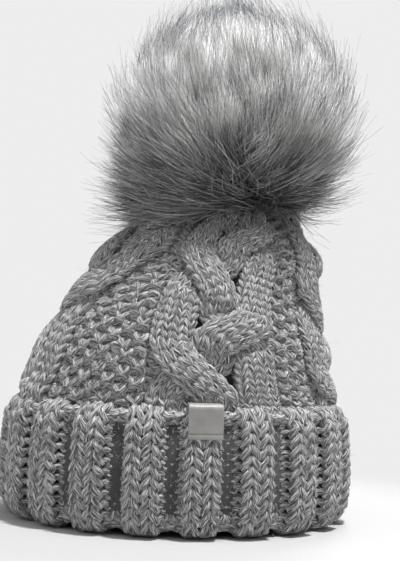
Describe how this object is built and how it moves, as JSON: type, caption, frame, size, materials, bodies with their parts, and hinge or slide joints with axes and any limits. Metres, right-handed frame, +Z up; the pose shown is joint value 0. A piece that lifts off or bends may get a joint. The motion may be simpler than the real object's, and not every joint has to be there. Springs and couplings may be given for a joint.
{
  "type": "pom pom beanie",
  "caption": "Chunky cable-knit beanie with a turned-up rib cuff, a small folded label and a large detachable faux fur pom pom.",
  "frame": {"origin": "centre of the head opening, in the plane of the cuff's bottom edge", "axes": "+Z up through the hat, -Y towards the front with the folded label, +X to the wearer's left, where the crown leans"},
  "size_m": [0.2106, 0.1875, 0.303],
  "materials": {
    "knit_yarn": "matte",
    "fleece": "matte",
    "sewing_thread": "satin",
    "felt": "matte",
    "snap_metal": "satin",
    "spring_wire": "polished",
    "fur_backing": "matte",
    "fibre_fill": "matte",
    "draw_cord": "satin",
    "fur_pile": "satin",
    "label_leather": "satin",
    "care_satin": "satin"
  },
  "bodies": {
    "knit_hat": {"turned_up_cuff": "knit_yarn", "rib_band": "knit_yarn", "fleece_ear_band": "fleece", "ear_band_stitches": "sewing_thread", "knit_crown": "knit_yarn", "gather_yarn": "knit_yarn", "crown_back_seam": "knit_yarn", "crown_patch": "felt", "patch_stitches": "sewing_thread", "stud_cap": "snap_metal", "snap_stud": "snap_metal", "cuff_label": "label_leather", "label_stitches": "sewing_thread"},
    "snap_grip": {"snap_spring": "spring_wire"},
    "snap_mount": {"snap_socket": "snap_metal", "pom_web": "felt", "socket_rivet": "snap_metal"},
    "pom": {"pom_collar": "felt", "pom_backing": "fur_backing", "pom_stuffing": "fibre_fill", "pom_draw_cord": "draw_cord", "pom_fur": "fur_pile"},
    "care_label": {"care_label": "care_satin"}
  },
  "joints": [
    {"name": "pom_pull_off", "type": "slide", "parent": "knit_hat", "child": "snap_grip", "axis": [0, 0, 1], "range_m": [0, 0.04]},
    {"name": "pom_spin", "type": "hinge", "parent": "snap_grip", "child": "snap_mount", "pos_m": [0.034, 0, 0.1922], "axis": [0, 0, 1], "continuous": true},
    {"name": "pom_lean", "type": "hinge", "parent": "snap_mount", "child": "pom", "pos_m": [0.034, 0, 0.1975], "axis": [0, 1, 0], "range_deg": [-10, 10], "stiffness_Nm_per_rad": 0.3},
    {"name": "care_label_flip", "type": "hinge", "parent": "knit_hat", "child": "care_label", "pos_m": [0, 0.0727, 0.058], "axis": [-1, 0, 0], "range_deg": [0, 120]}
  ]
}
